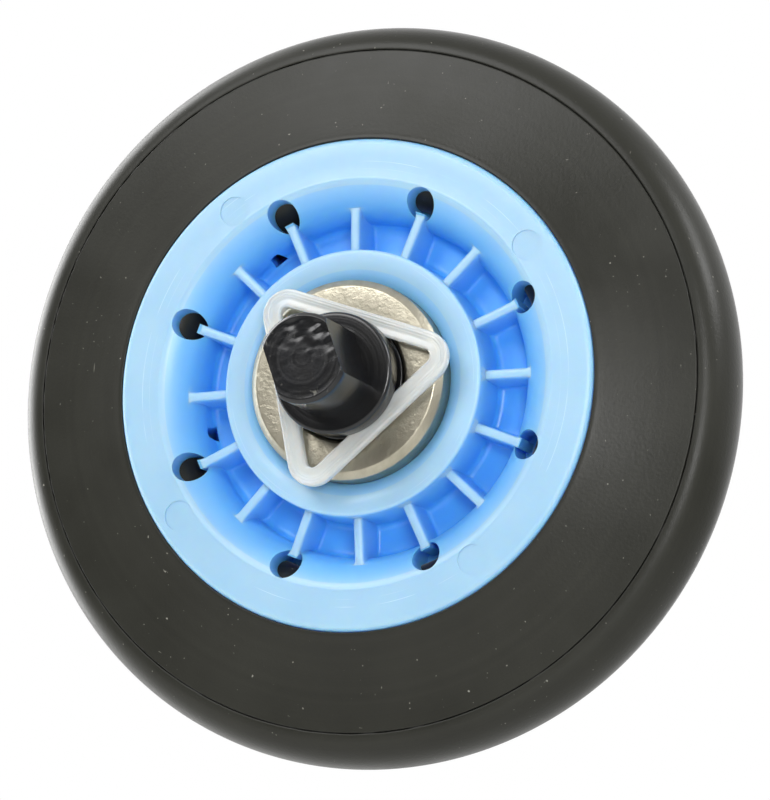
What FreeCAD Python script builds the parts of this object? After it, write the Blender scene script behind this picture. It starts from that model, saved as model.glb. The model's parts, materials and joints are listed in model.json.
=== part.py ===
import FreeCAD, Part
import math
import os

# Support roller for the drum of a tumble dryer: a rubber-tyred wheel that spins on a fixed shaft.
# The spin axis is Y, the front of the roller faces -Y, Z is up, and the wheel's centre is the origin.
# All sizes are in millimetres and all angles in degrees, anticlockwise from +X as the front is seen.

# Tyre
TYRE_D = 82.0
TREAD_W = 9.94
CROWN_H = 3.45
TYRE_STEP = 0.4

# Shaft
SHAFT_D = 13.14
NOSE_L = 4.0
SHOULDER_ROUND = 0.4
STUB_D = 9.6
STUB_L = 9.0
STUB_FLATS = 7.3
FLATS_ANGLE = 22.0
STUB_EDGE = 0.6
GROOVE_DEPTH = 1.2
COLLAR_RING = 3.43
COLLAR_W = 3.0
COLLAR_EDGE = 0.5
STUD_D = 8.0
STUD_L = 12.0
STUD_TIP = 1.0

# Bearing bush
BUSH_WALL = 4.28
BUSH_STAND = 2.0
BUSH_CHAMFER_W = 0.8
BUSH_CHAMFER_L = 0.7
BORE_CHAMFER = 0.3

# Hub, one moulding: its widths run outwards from the bush, through boss, pocket and bowl to the rim
BOSS_WALL = 3.63
BOSS_DRAFT = 1.5
BOSS_EDGE = 0.4
BOSS_LAND = 0.83
BOSS_LIP_DROP = 1.1
POCKET_W = 3.95
WEB_T = 2.6
FLOOR_ROUND = 0.8
BOWL_STRAIGHT = 0.4
LIP_SLOPE = 20.6
WALL = 2.0
RIM_FLAT = 4.8
RIM_W = 15.4
RIM_EDGE = 0.8

# Ribs across the pocket, and the holes that every other rib runs out into
RIB_COUNT = 16
RIB_PHASE = 94.0
RIB_W = 1.05
RIB_DRAFT = 1.5
RIB_DROP = 1.6
RIB_FALL = 0.4
HOLE_D = 3.3
HOLE_OUT = 2.2

# Arched windows through the bowl's wall, and the round marks that the mould's pins leave on the rim
WINDOW_BAYS = (1, 4, 9, 12)
WINDOW_W = 1.7
WINDOW_H = 3.0
WINDOW_TOP_R = 0.6
WINDOW_FOOT = 0.2
MARK_D = 3.3
MARK_INSET = 2.9
MARK_COUNT = 4
MARK_BAY = 1
MARK_SINK = 0.1

# Retaining clip and thrust washer
CLIP_BAR = 2.0
CLIP_T = 1.3
CLIP_CORNER = 0.8
CLIP_EDGE = 0.25
CLIP_ANGLE = 73.5
WASHER_RING = 2.78
WASHER_T = 1.0

# Clearances
BOND_GAP = 0.02
RUNNING_GAP = 0.05
END_FLOAT = 0.25
CLIP_GAP = 0.1
WASHER_GAP = 0.15

# Places worked out from the sizes above
V = FreeCAD.Vector
CENTRE = V(0, 0, 0)
SPIN = V(0, 1, 0)
FRONT = V(0, -1, 0)
FACE_Y = -RIM_W / 2
FLOOR_Y = -WEB_T / 2
POCKET_DEPTH = FLOOR_Y - FACE_Y
BUSH_BORE_R = SHAFT_D / 2 + RUNNING_GAP
BUSH_R = BUSH_BORE_R + BUSH_WALL
BOSS_SEAT_R = BUSH_R + BOND_GAP
BOSS_R = BOSS_SEAT_R + BOSS_WALL
BOWL_R = BOSS_R + POCKET_W
ROOT_R = BOWL_R + WALL
LIP_CENTRE_Y = FLOOR_Y - FLOOR_ROUND - BOWL_STRAIGHT
LIP_R = (LIP_CENTRE_Y - FACE_Y) / math.cos(math.radians(LIP_SLOPE))
LIP_CENTRE_R = BOWL_R + LIP_R
CHANNEL_LIP_R = LIP_R - WALL
RIM_R = LIP_CENTRE_R - LIP_R * math.sin(math.radians(LIP_SLOPE)) + RIM_FLAT
LINE_R = TYRE_D / 2 - CROWN_H
BUSH_Y = FACE_Y - BUSH_STAND
CLIP_FRONT_Y = BUSH_Y - END_FLOAT - CLIP_T
GROOVE_FRONT_Y = CLIP_FRONT_Y - CLIP_GAP
GROOVE_BACK_Y = BUSH_Y - END_FLOAT + CLIP_GAP
GROOVE_R = SHAFT_D / 2 - GROOVE_DEPTH
SHOULDER_Y = BUSH_Y - NOSE_L
STUB_Y = SHOULDER_Y - STUB_L
WASHER_Y = -BUSH_Y + END_FLOAT
COLLAR_Y = WASHER_Y + WASHER_T
COLLAR_R = SHAFT_D / 2 + COLLAR_RING
SEAT_Y = COLLAR_Y + COLLAR_W
STUD_END_Y = SEAT_Y + STUD_L


def at(radius, y):
    """A point of a section, by its radius from the spin axis and its place along it."""
    return V(radius, y, 0)


def on_circle(centre, radius, angle):
    """The point of a section's circle at an angle from the outward radial direction, towards the back."""
    turn = math.radians(angle)
    return V(centre.x + radius * math.cos(turn), centre.y + radius * math.sin(turn), 0)


def arc(centre, radius, start, end):
    """An arc of a section between two angles on the circle."""
    middle = on_circle(centre, radius, (start + end) / 2)
    ends = (on_circle(centre, radius, start), on_circle(centre, radius, end))
    return Part.Arc(ends[0], middle, ends[1]).toShape()


def closed(pieces):
    """A closed wire of the given edges in order, with straight edges laid between them and single points."""
    edges = []
    first = None
    here = None
    for piece in pieces:
        if isinstance(piece, FreeCAD.Vector):
            start, end = piece, piece
        else:
            start, end = piece.firstVertex(True).Point, piece.lastVertex(True).Point
        if here is None:
            first = start
        elif here.distanceToPoint(start) > 1e-6:
            edges.append(Part.makeLine(here, start))
        if piece is not start:
            edges.append(piece)
        here = end
    if here.distanceToPoint(first) > 1e-6:
        edges.append(Part.makeLine(here, first))
    return Part.Wire(edges)


def turned(pieces):
    """The solid that a closed section makes when it is turned about the spin axis."""
    return Part.Face(closed(pieces)).revolve(CENTRE, SPIN, 360)


def spun(shape, angle):
    """A copy of a shape turned about the spin axis, anticlockwise as the front is seen."""
    copy = shape.copy()
    copy.rotate(CENTRE, FRONT, angle)
    return copy


def single(shape):
    """The one solid that a cut or a joining leaves inside a compound."""
    return shape.Solids[0]


def crown():
    """The tread's section: half an ellipse that stands on the two moulding lines."""
    foot = at(LINE_R, -TREAD_W / 2)
    top = at(LINE_R + CROWN_H, 0)
    centre = at(LINE_R, 0)
    if TREAD_W / 2 > CROWN_H:
        ellipse = Part.Ellipse(foot, top, centre)
    else:
        ellipse = Part.Ellipse(top, foot, centre)
    start = ellipse.parameter(foot)
    end = ellipse.parameter(at(LINE_R, TREAD_W / 2))
    if ellipse.value((start + end) / 2).x < LINE_R:
        start, end = end, start + 2 * math.pi
    return ellipse.toShape(start, end)


def tyre():
    """Rubber tyre: its root fills the channel of the hub, and its side faces fall away to the crowned tread."""
    lip = CHANNEL_LIP_R - BOND_GAP
    front_lip = arc(at(LIP_CENTRE_R, LIP_CENTRE_Y), lip, 180, 270)
    back_lip = arc(at(LIP_CENTRE_R, -LIP_CENTRE_Y), lip, 90, 180)
    seat_r = RIM_R + BOND_GAP
    return turned([
        front_lip,
        at(seat_r, LIP_CENTRE_Y - lip),
        at(seat_r, FACE_Y + TYRE_STEP),
        crown(),
        at(seat_r, -FACE_Y - TYRE_STEP),
        at(seat_r, lip - LIP_CENTRE_Y),
        back_lip,
    ])


def hub_shell():
    """Front half of the hub with no ribs: flange, dished pocket, web and boss. The back half mirrors it."""
    boss_foot_r = BOSS_R + POCKET_DEPTH * math.tan(math.radians(BOSS_DRAFT))
    lip_centre = at(LIP_CENTRE_R, LIP_CENTRE_Y)
    rim_edge = arc(at(RIM_R - RIM_EDGE, FACE_Y + RIM_EDGE), RIM_EDGE, 0, -90)
    bowl_lip = arc(lip_centre, LIP_R, 270 - LIP_SLOPE, 180)
    bowl_foot = arc(at(BOWL_R - FLOOR_ROUND, FLOOR_Y - FLOOR_ROUND), FLOOR_ROUND, 0, 90)
    boss_foot = arc(at(boss_foot_r + FLOOR_ROUND, FLOOR_Y - FLOOR_ROUND), FLOOR_ROUND, 90, 180)
    boss_edge = arc(at(BOSS_R - BOSS_EDGE, FACE_Y + BOSS_EDGE), BOSS_EDGE, 0, -90)
    lip_w = BOSS_WALL - BOSS_EDGE - BOSS_LAND
    lip_bend = (lip_w ** 2 + BOSS_LIP_DROP ** 2) / (2 * BOSS_LIP_DROP)
    lip_turn = math.degrees(math.asin(lip_w / lip_bend))
    boss_lip = arc(at(BOSS_SEAT_R + lip_w, FACE_Y + lip_bend), lip_bend, -90, -90 - lip_turn)
    return turned([
        at(ROOT_R, 0),
        arc(lip_centre, CHANNEL_LIP_R, 180, 270),
        at(RIM_R, LIP_CENTRE_Y - CHANNEL_LIP_R),
        rim_edge,
        bowl_lip,
        bowl_foot,
        boss_foot,
        boss_edge,
        boss_lip,
        at(BOSS_SEAT_R, 0),
    ])


def rib():
    """One rib along +X, with drafted sides and a flat crest that falls a little from the boss to the bowl."""
    start_r = BOSS_R - BOSS_EDGE
    length = ROOT_R - BOND_GAP - start_r
    crest_y = FACE_Y + RIB_DROP
    foot_y = FLOOR_Y + RIB_FALL
    half = RIB_W / 2
    foot_half = half + (foot_y - crest_y) * math.tan(math.radians(RIB_DRAFT))
    section = closed([
        V(start_r, foot_y, -foot_half),
        V(start_r, crest_y, -half),
        V(start_r, crest_y, half),
        V(start_r, foot_y, foot_half),
    ])
    return Part.Face(section).extrude(V(length, RIB_FALL, 0))


def window():
    """Cutter along +X for an arched window in the bowl's wall, with its flat foot just above the floor."""
    inside = BOWL_R - FLOOR_ROUND
    foot_y = FLOOR_Y - WINDOW_FOOT
    top_y = foot_y - WINDOW_H
    spring_y = top_y + WINDOW_TOP_R
    half = WINDOW_W / 2
    top = Part.Arc(
        V(inside, spring_y, -WINDOW_TOP_R),
        V(inside, top_y, 0),
        V(inside, spring_y, WINDOW_TOP_R),
    ).toShape()
    section = closed([V(inside, foot_y, -half), top, V(inside, foot_y, half)])
    return Part.Face(section).extrude(V(FLOOR_ROUND + 2 * WALL, 0, 0))


def hub():
    """Plastic hub: a channel for the tyre, a dished pocket in each face and a boss for the bush.

    Only the front pocket has the ribs, the holes, the windows and the marks that the mould's pins leave.
    """
    pitch = 360 / RIB_COUNT
    ribs = [spun(rib(), RIB_PHASE + index * pitch) for index in range(RIB_COUNT)]
    front_half = hub_shell().fuse(ribs)
    hole = Part.makeCylinder(HOLE_D / 2, POCKET_DEPTH, V(BOWL_R + HOLE_OUT, FACE_Y, 0), SPIN)
    cuts = [spun(hole, RIB_PHASE + index * pitch) for index in range(1, RIB_COUNT, 2)]
    for bay in WINDOW_BAYS:
        cuts.append(spun(window(), RIB_PHASE + (bay + 0.5) * pitch))
    back_half = hub_shell().mirror(CENTRE, SPIN)
    whole = single(front_half.cut(cuts).fuse(back_half).removeSplitter())
    mark = Part.makeCylinder(MARK_D / 2, MARK_SINK, V(RIM_R - MARK_INSET, FACE_Y, 0), SPIN)
    marks = []
    for index in range(MARK_COUNT):
        bay = MARK_BAY + round(index * RIB_COUNT / MARK_COUNT)
        marks.append(spun(mark, RIB_PHASE + (bay + 0.5) * pitch))
    return single(whole.cut(marks))


def bush():
    """Sintered bearing bush, chamfered outside at both ends and lightly inside."""
    return turned([
        at(BUSH_BORE_R, BUSH_Y + BORE_CHAMFER),
        at(BUSH_BORE_R + BORE_CHAMFER, BUSH_Y),
        at(BUSH_R - BUSH_CHAMFER_W, BUSH_Y),
        at(BUSH_R, BUSH_Y + BUSH_CHAMFER_L),
        at(BUSH_R, -BUSH_Y - BUSH_CHAMFER_L),
        at(BUSH_R - BUSH_CHAMFER_W, -BUSH_Y),
        at(BUSH_BORE_R + BORE_CHAMFER, -BUSH_Y),
        at(BUSH_BORE_R, -BUSH_Y - BORE_CHAMFER),
    ])


def shaft():
    """Fixed shaft: double-D stub, clip groove, bearing length, thrust collar and the stud that mounts it."""
    stub_r = STUB_D / 2
    body_r = SHAFT_D / 2
    stud_r = STUD_D / 2
    shoulder = arc(at(body_r - SHOULDER_ROUND, SHOULDER_Y + SHOULDER_ROUND), SHOULDER_ROUND, -90, 0)
    solid = turned([
        at(0, STUB_Y),
        at(stub_r - STUB_EDGE, STUB_Y),
        at(stub_r, STUB_Y + STUB_EDGE),
        at(stub_r, SHOULDER_Y),
        shoulder,
        at(body_r, GROOVE_FRONT_Y),
        at(GROOVE_R, GROOVE_FRONT_Y),
        at(GROOVE_R, GROOVE_BACK_Y),
        at(body_r, GROOVE_BACK_Y),
        at(body_r, COLLAR_Y),
        at(COLLAR_R - COLLAR_EDGE, COLLAR_Y),
        at(COLLAR_R, COLLAR_Y + COLLAR_EDGE),
        at(COLLAR_R, SEAT_Y - COLLAR_EDGE),
        at(COLLAR_R - COLLAR_EDGE, SEAT_Y),
        at(stud_r, SEAT_Y),
        at(stud_r, STUD_END_Y),
        at(stud_r - STUD_TIP, STUD_END_Y + STUD_TIP),
        at(0, STUD_END_Y + STUD_TIP),
    ])
    flat = Part.makeBox(STUB_D, STUB_L, STUB_D, V(STUB_FLATS / 2, STUB_Y, -STUB_D / 2))
    return single(solid.cut([spun(flat, FLATS_ANGLE), spun(flat, FLATS_ANGLE + 180)]))


def rounded_triangle(inside_r, corner_r):
    """A triangle's wire around the spin axis, by its inscribed circle, with round corners."""
    edges = []
    centre_r = 2 * (inside_r - corner_r)
    for side in range(3):
        corner = V(centre_r, CLIP_FRONT_Y, 0)
        points = []
        for turn in (-60, 0, 60):
            reach = math.radians(turn)
            points.append(corner + V(corner_r * math.cos(reach), 0, corner_r * math.sin(reach)))
        bend = Part.Arc(points[0], points[1], points[2]).toShape()
        edges.append(spun(bend, CLIP_ANGLE + 60 + 120 * side))
    return closed(edges)


def retaining_clip():
    """Three-sided clip whose bars sit in the shaft's groove and hold the wheel on."""
    inside_r = GROOVE_R + CLIP_GAP
    inner = Part.Face(rounded_triangle(inside_r, CLIP_CORNER)).extrude(V(0, CLIP_T, 0))
    outer = Part.Face(rounded_triangle(inside_r + CLIP_BAR, CLIP_CORNER + CLIP_BAR)).extrude(V(0, CLIP_T, 0))
    plate = outer.cut(inner)
    rims = []
    for edge in plate.Edges:
        if abs(edge.firstVertex().Point.y - edge.lastVertex().Point.y) < 1e-6:
            rims.append(edge)
    return single(plate.makeFillet(CLIP_EDGE, rims))


def thrust_washer():
    """Flat washer between the bush and the shaft's collar."""
    bore_r = SHAFT_D / 2 + WASHER_GAP
    washer_r = bore_r + WASHER_RING
    return turned([
        at(bore_r, WASHER_Y),
        at(washer_r, WASHER_Y),
        at(washer_r, COLLAR_Y),
        at(bore_r, COLLAR_Y),
    ])


PIECES = {
    "tyre": tyre,
    "hub": hub,
    "bush": bush,
    "shaft": shaft,
    "retaining_clip": retaining_clip,
    "thrust_washer": thrust_washer,
}

os.makedirs("parts", exist_ok=True)
for name, make in PIECES.items():
    shape = make()
    shape.exportStep("parts/" + name + ".step")
    print(name, shape.ShapeType, len(shape.Solids), shape.isValid(), round(shape.Volume, 2))
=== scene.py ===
"""The drum roller's looks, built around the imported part: tyre, hub, bush, shaft, clip and washer."""

import json
import math

import bpy
import bmesh
import numpy as np
from mathutils import Matrix, Vector

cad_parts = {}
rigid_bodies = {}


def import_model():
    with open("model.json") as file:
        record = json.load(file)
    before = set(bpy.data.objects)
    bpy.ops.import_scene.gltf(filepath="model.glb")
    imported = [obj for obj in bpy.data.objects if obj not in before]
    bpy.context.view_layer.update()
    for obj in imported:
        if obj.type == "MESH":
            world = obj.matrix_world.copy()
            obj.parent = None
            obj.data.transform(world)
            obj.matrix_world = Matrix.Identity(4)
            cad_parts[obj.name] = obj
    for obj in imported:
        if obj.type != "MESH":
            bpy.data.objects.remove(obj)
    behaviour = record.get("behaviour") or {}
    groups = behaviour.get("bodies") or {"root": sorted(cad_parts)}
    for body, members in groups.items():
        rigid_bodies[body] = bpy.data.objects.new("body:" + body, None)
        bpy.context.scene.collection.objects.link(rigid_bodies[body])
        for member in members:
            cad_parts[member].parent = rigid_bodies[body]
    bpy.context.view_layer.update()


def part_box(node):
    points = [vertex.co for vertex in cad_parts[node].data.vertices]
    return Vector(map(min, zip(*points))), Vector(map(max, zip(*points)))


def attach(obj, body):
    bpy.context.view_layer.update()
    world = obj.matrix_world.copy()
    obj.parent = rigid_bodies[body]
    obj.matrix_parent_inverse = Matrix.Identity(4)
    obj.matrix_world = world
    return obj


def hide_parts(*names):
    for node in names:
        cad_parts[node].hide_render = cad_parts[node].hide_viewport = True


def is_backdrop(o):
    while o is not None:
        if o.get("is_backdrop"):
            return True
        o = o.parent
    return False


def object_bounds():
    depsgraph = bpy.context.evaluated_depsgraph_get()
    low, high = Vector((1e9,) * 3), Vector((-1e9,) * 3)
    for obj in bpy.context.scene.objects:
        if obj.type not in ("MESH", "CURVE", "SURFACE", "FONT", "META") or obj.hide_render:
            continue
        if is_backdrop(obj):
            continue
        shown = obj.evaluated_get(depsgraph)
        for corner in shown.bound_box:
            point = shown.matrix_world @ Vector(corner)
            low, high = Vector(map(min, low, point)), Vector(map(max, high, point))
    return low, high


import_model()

# All sizes are in millimetres and all angles in degrees, anticlockwise from +X as the front (-Y) is seen
MM = 0.001
SHARP = math.radians(38)

# Tyre
CROWN_H = 3.45
TREAD_W = 9.94
TYRE_STEP = 0.4
SIDE_HOLLOW = 0.2
LINE_DIP = 0.15
LINE_W = 0.07
LINE_INSET = 0.1
TYRE_ROOT_ROUND = 0.12
TYRE_COLUMNS = 448

# Hub
BOSS_WALL = 3.63
BOSS_DRAFT = 1.5
BOSS_EDGE = 0.4
BOSS_LAND = 0.83
BOSS_LIP_DROP = 1.1
POCKET_W = 3.95
WEB_T = 2.6
FLOOR_ROUND = 0.8
BOWL_STRAIGHT = 0.4
LIP_SLOPE = 20.6
WALL = 2.0
RIM_EDGE = 0.8
MOUTH_BEAD = 0.05
MOUTH_BEAD_OUT = 0.3
MOUTH_BEAD_W = 0.14
BOND_GAP = 0.02

# Ribs, holes, windows and marks of the hub's front
RIB_COUNT = 16
RIB_PHASE = 94.0
RIB_W = 1.05
RIB_DRAFT = 1.5
RIB_DROP = 1.6
RIB_FALL = 0.4
RIB_ROUND = 0.38
RIB_FILLET = 0.35
RIB_TIP_OUT = 1.2
HOLE_D = 3.3
HOLE_OUT = 2.2
WINDOW_BAYS = (1, 4, 9, 12)
WINDOW_W = 1.7
WINDOW_H = 3.0
WINDOW_TOP_R = 0.6
WINDOW_FOOT = 0.2
WINDOW_LEAN = 6.0
MARK_D = 3.3
MARK_INSET = 2.9
MARK_BAYS = (1, 5, 9, 13)
MARK_SINK = 0.14

# Bush
BUSH_WALL = 4.28
BUSH_CHAMFER_W = 0.8
BUSH_CHAMFER_L = 0.7
BORE_CHAMFER = 0.3
BUSH_EDGE = 0.12

# Shaft
SHAFT_D = 13.14
STUB_D = 9.6
STUB_L = 9.0
STUB_FLATS = 7.3
STUB_EDGE = 0.4
FLATS_ANGLE = 22.0
NOSE_L = 4.0
SHOULDER_ROUND = 0.4
GROOVE_DEPTH = 1.2
COLLAR_W = 3.0
COLLAR_EDGE = 0.5
STUD_D = 8.0
STUD_TIP = 1.0
THREAD_PITCH = 1.25
THREAD_DEPTH = 0.7
SHEAR_RELIEF = 0.2
SHEAR_ANGLE = 38.0
SHEAR_NET = 64
FINE_EDGE = 0.15

# Clip, washer and the gaps round them
CLIP_BAR = 2.0
CLIP_CORNER = 0.8
CLIP_EDGE = 0.3
CLIP_ANGLE = 73.5
CLIP_GAP = 0.1
CLIP_TROUGH = 0.1
CLIP_TROUGH_W = 0.42
CLIP_LINE_DEPTH = 0.03
CLIP_LINE_PITCH = 0.3
WASHER_EDGE = 0.12
WASHER_GAP = 0.15

# The photograph's camera: degrees, millimetres from the wheel's centre, and a 36 mm sensor
VIEW_AZIMUTH = 19.593
VIEW_ELEVATION = -8.784
VIEW_ROLL = 3.11
VIEW_DISTANCE = 350.0
VIEW_AIM = (3.47, -6.18, -1.73)
LENS = 146.8
SENSOR = 36.0

# Studio: the floor's drop, the lamps, and the direction and half width of the dim opening in front
FLOOR_DROP = 120.0
FLOOR_REACH = 2000.0
KEY_PLACE = (-166, -456, 300)
KEY_SIZE = (300, 300)
KEY_WATTS = 1.85
SIDE_PLACE = (370, -45, 257)
SIDE_SIZE = (160, 160)
SIDE_WATTS = 0.9
FRONT_PLACE = (210, -445, 30)
FRONT_SIZE = (140, 140)
FRONT_WATTS = 0.95
EDGE_PLACE = (-430, 110, 20)
EDGE_SIZE = (350, 1000)
EDGE_WATTS = 5.0
ROOM_LIGHT = 0.24
DIM_AZIMUTH = -12.0
DIM_ELEVATION = 4.0
DIM_OUTER = 60
DIM_INNER = 25
DIM_STRENGTH = 0.12


def low(name, axis):
    """The lowest place of a CAD node along an axis, in millimetres."""
    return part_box(name)[0][axis] / MM


def high(name, axis):
    """The highest place of a CAD node along an axis, in millimetres."""
    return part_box(name)[1][axis] / MM


# Places that follow from the frame and the sizes above
TYRE_R = high("tyre", 0)
LINE_R = TYRE_R - CROWN_H
FACE_Y = low("hub", 1)
RIM_R = high("hub", 0)
FLOOR_Y = -WEB_T / 2
BUSH_Y = low("bush", 1)
BUSH_R = high("bush", 0)
BUSH_BORE_R = BUSH_R - BUSH_WALL
BOSS_SEAT_R = BUSH_R + BOND_GAP
BOSS_R = BOSS_SEAT_R + BOSS_WALL
BOWL_R = BOSS_R + POCKET_W
ROOT_R = BOWL_R + WALL
LIP_CENTRE_Y = FLOOR_Y - FLOOR_ROUND - BOWL_STRAIGHT
LIP_R = (LIP_CENTRE_Y - FACE_Y) / math.cos(math.radians(LIP_SLOPE))
LIP_CENTRE = (BOWL_R + LIP_R, LIP_CENTRE_Y)
CHANNEL_LIP_R = LIP_R - WALL
RIB_PITCH = 360 / RIB_COUNT
STUB_Y = low("shaft", 1)
SHOULDER_Y = STUB_Y + STUB_L
CLIP_FRONT_Y = low("retaining_clip", 1)
CLIP_BACK_Y = high("retaining_clip", 1)
GROOVE_R = SHAFT_D / 2 - GROOVE_DEPTH
WASHER_Y = low("thrust_washer", 1)
COLLAR_Y = high("thrust_washer", 1)
COLLAR_R = high("shaft", 0)
SEAT_Y = COLLAR_Y + COLLAR_W
STUD_TIP_Y = high("shaft", 1)
STUD_END_Y = STUD_TIP_Y - STUD_TIP


def bend(centre, radius, start, end, count):
    """An arc of a section, as rows of radius and y: evenly spaced angles of a circle, in degrees from the
    outward radial direction towards the back."""
    turn = np.radians(np.linspace(start, end, count))
    return np.column_stack((centre[0] + radius * np.cos(turn), centre[1] + radius * np.sin(turn)))


def straight(start, end, count):
    """A straight stretch of a section: evenly spaced points between its ends, which neighbours give."""
    return np.linspace(start, end, count + 2)[1:-1]


def mirrored(points):
    """The same stretch of a section at the back, in the order that goes on from its end at the front."""
    return points[::-1] * (1, -1)


def wander(angle, waves, seed):
    """A smooth random ring: sines of 1 to waves turns with random phases, added up, about -1 to 1."""
    phase = np.random.default_rng(seed).uniform(0, 2 * np.pi, (waves, 1))
    turns = np.arange(1, waves + 1)[:, None]
    return np.sin(turns * angle[None] + phase).sum(axis=0) / math.sqrt(waves)


def turned(points, columns):
    """The surface that a section sweeps round the spin axis: x = r cos a and z = r sin a with y kept, for
    evenly spaced angles a."""
    angle = np.linspace(0, 2 * np.pi, columns, endpoint=False)
    radius, along = points[:, :1], points[:, 1:]
    return np.dstack((radius * np.cos(angle), along + 0 * angle, radius * np.sin(angle)))


def skin(name, grid, rows_meet=True):
    """A mesh of a grid of points in millimetres. Its columns close into a ring, and its rows too where
    rows_meet; elsewhere the first and last rows are points, and are merged."""
    index = np.arange(grid.shape[0] * grid.shape[1]).reshape(grid.shape[:2])
    if rows_meet:
        index = np.vstack((index, index[:1]))
    index = np.hstack((index, index[:, :1]))
    quads = np.dstack((index[:-1, :-1], index[1:, :-1], index[1:, 1:], index[:-1, 1:])).reshape(-1, 4)
    mesh = bpy.data.meshes.new(name)
    mesh.from_pydata((grid.reshape(-1, 3) * MM).tolist(), [], quads.tolist())
    work = bmesh.new()
    work.from_mesh(mesh)
    if not rows_meet:
        bmesh.ops.remove_doubles(work, verts=work.verts, dist=0.001 * MM)
    bmesh.ops.recalc_face_normals(work, faces=work.faces)
    work.to_mesh(mesh)
    work.free()
    return mesh


def cutter(name, outline, travel):
    """A closed prism: an outline of points in millimetres, carried along travel."""
    count = len(outline)
    points = np.vstack((outline, outline + travel))
    near = np.arange(count)
    far = near + count
    ahead = np.roll(near, -1)
    sides = np.column_stack((near, ahead, ahead + count, far)).tolist()
    mesh = bpy.data.meshes.new(name)
    mesh.from_pydata((points * MM).tolist(), [], sides + [near.tolist(), far.tolist()])
    work = bmesh.new()
    work.from_mesh(mesh)
    bmesh.ops.recalc_face_normals(work, faces=work.faces)
    work.to_mesh(mesh)
    work.free()
    return mesh


def cut(name, mesh, cutters):
    """The mesh with every cutter taken out of it."""
    work = bpy.data.objects.new(name + "_uncut", mesh)
    bpy.context.scene.collection.objects.link(work)
    tools = bpy.data.collections.new(name + "_cutters")
    bpy.context.scene.collection.children.link(tools)
    for index, shape in enumerate(cutters):
        tools.objects.link(bpy.data.objects.new(f"{name}_cutter_{index}", shape))
    step = work.modifiers.new("holes", "BOOLEAN")
    step.operation = "DIFFERENCE"
    step.operand_type = "COLLECTION"
    step.collection = tools
    step.solver = "EXACT"
    view = bpy.context.evaluated_depsgraph_get()
    result = bpy.data.meshes.new_from_object(work.evaluated_get(view))
    for thing in [work, *tools.objects]:
        bpy.data.objects.remove(thing)
    bpy.data.collections.remove(tools)
    return result


def piece(name, mesh, body, node_name, material):
    """A finished piece that stands for a CAD node: smooth but for its sharp edges, riding on its body."""
    mesh.materials.clear()
    mesh.materials.append(material)
    mesh.shade_smooth()
    mesh.set_sharp_from_angle(angle=SHARP)
    made = bpy.data.objects.new(name, mesh)
    bpy.context.scene.collection.objects.link(made)
    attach(made, body)
    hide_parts(node_name)
    return made


def tyre_shape():
    """The tyre's turned section: root in the hub's channel, side faces hollowed by a parabola, and an
    elliptical crown. Along the moulding line runs a dip, a bell curve of the radius whose depth wanders
    round the ring."""
    lip = CHANNEL_LIP_R - BOND_GAP
    seat_r = RIM_R + BOND_GAP
    top = (seat_r, FACE_Y + TYRE_STEP)
    foot = (LINE_R, -TREAD_W / 2)
    along = np.append(np.linspace(0.05, 0.95, 20), np.linspace(0.96, 1, 18))[:, None]
    side = np.array(top) * (1 - along) + np.array(foot) * along
    side[:, 1:] += SIDE_HOLLOW * 4 * along * (1 - along)
    turn = np.append(np.linspace(1, 12, 12), np.linspace(15, 90, 26))
    turn = np.radians(turn)
    crown = np.column_stack((LINE_R + CROWN_H * np.sin(turn), -TREAD_W / 2 * np.cos(turn)))
    edge_centre = (seat_r + TYRE_ROOT_ROUND, top[1] + TYRE_ROOT_ROUND)
    front = np.vstack((
        bend(LIP_CENTRE, lip, 180, 270, 7),
        straight((LIP_CENTRE[0], LIP_CENTRE_Y - lip), (seat_r, LIP_CENTRE_Y - lip), 1),
        [(seat_r, LIP_CENTRE_Y - lip)],
        bend(edge_centre, TYRE_ROOT_ROUND, 180, 270, 5),
        side,
        crown,
    ))
    grid = turned(np.vstack((front, mirrored(front[:-1]))), TYRE_COLUMNS)
    angle = np.linspace(0, 2 * np.pi, TYRE_COLUMNS, endpoint=False)
    radius = np.hypot(grid[..., 0], grid[..., 2])
    facing = np.sign(grid[..., 1])
    ragged = np.clip(1 + 0.5 * wander(angle, 120, 3), 0.4, 1.6)
    dip = LINE_DIP * ragged * np.exp(-((radius - LINE_R + LINE_INSET) / LINE_W) ** 2)
    grid[..., 1] -= facing * dip * (np.abs(grid[..., 1]) > TREAD_W / 4)
    return skin("tyre", grid)


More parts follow.
